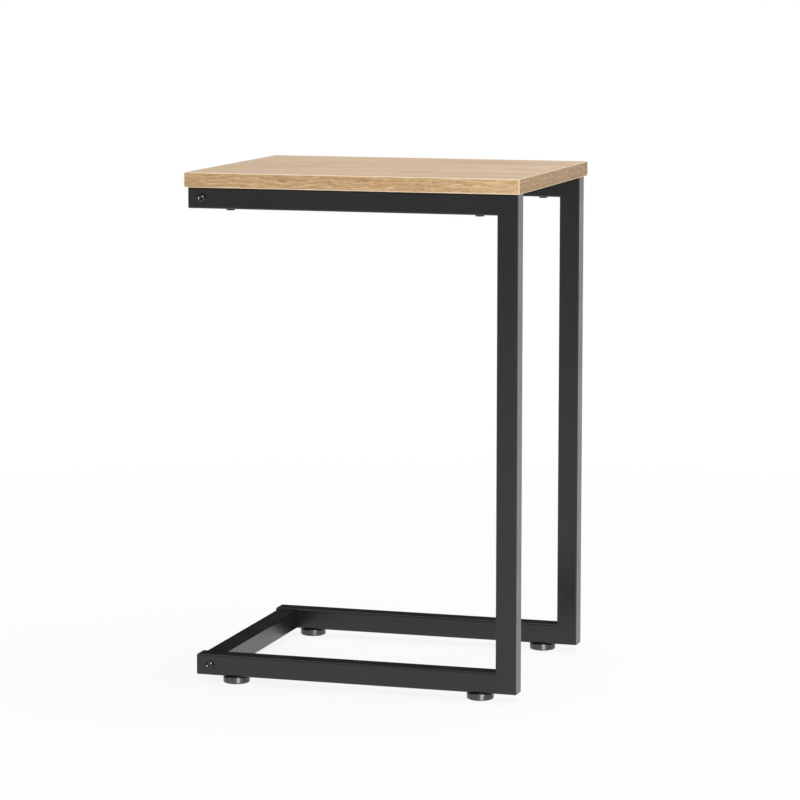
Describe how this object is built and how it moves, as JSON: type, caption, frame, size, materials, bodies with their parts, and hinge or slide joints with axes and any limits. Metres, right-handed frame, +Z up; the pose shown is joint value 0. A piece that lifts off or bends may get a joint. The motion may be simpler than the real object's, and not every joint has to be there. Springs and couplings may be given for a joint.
{
  "type": "c shaped side table",
  "caption": "C-shaped side table: a thin oak-look top on two black square-tube C frames joined by crossbars, open at one end to slide over a seat, on screw-in levelling feet.",
  "frame": {"origin": "on the floor, under the middle of the table top", "axes": "+X from the open end of the C to the uprights, +Y from the front frame to the back frame, +Z up"},
  "size_m": [0.41, 0.33, 0.615],
  "materials": {
    "oak_board": "melamine-faced board with a light oak decor, satin",
    "oak_edge_band": "printed oak edge band with a paler trimmed arris, satin",
    "black_tube": "black powder coat on steel tube, satin",
    "black_plug": "moulded black plastic, fine satin",
    "black_fastener": "black oxide steel, semi-gloss",
    "zinc_steel": "zinc-plated steel",
    "black_foot": "moulded black plastic, glossy"
  },
  "bodies": {
    "table": {"table_top_board": "oak_board", "front_edge_band": "oak_edge_band", "back_edge_band": "oak_edge_band", "open_end_edge_band": "oak_edge_band", "upright_end_edge_band": "oak_edge_band", "front_top_rail": "black_tube", "front_upright": "black_tube", "front_base_rail": "black_tube", "back_top_rail": "black_tube", "back_upright": "black_tube", "back_base_rail": "black_tube", "top_crossbar": "black_tube", "base_crossbar": "black_tube", "front_top_rail_plug": "black_plug", "front_base_rail_plug": "black_plug", "back_top_rail_plug": "black_plug", "back_base_rail_plug": "black_plug", "front_frame_bolts": "black_fastener", "back_frame_bolts": "black_fastener", "table_top_screws": "black_fastener", "top_crossbar_nut_plates": "zinc_steel", "base_crossbar_nut_plates": "zinc_steel", "table_top_inserts": "zinc_steel", "foot_sockets": "zinc_steel"},
    "front_open_foot": {"front_open_foot_pad": "black_foot", "front_open_foot_stud": "zinc_steel"},
    "front_upright_foot": {"front_upright_foot_pad": "black_foot", "front_upright_foot_stud": "zinc_steel"},
    "back_open_foot": {"back_open_foot_pad": "black_foot", "back_open_foot_stud": "zinc_steel"},
    "back_upright_foot": {"back_upright_foot_pad": "black_foot", "back_upright_foot_stud": "zinc_steel"}
  },
  "joints": [
    {"name": "front_open_foot_screw", "type": "slide", "parent": "table", "child": "front_open_foot", "axis": [0, 0, -1], "range_m": [0, 0.01]},
    {"name": "front_upright_foot_screw", "type": "slide", "parent": "table", "child": "front_upright_foot", "axis": [0, 0, -1], "range_m": [0, 0.01]},
    {"name": "back_open_foot_screw", "type": "slide", "parent": "table", "child": "back_open_foot", "axis": [0, 0, -1], "range_m": [0, 0.01]},
    {"name": "back_upright_foot_screw", "type": "slide", "parent": "table", "child": "back_upright_foot", "axis": [0, 0, -1], "range_m": [0, 0.01]}
  ]
}
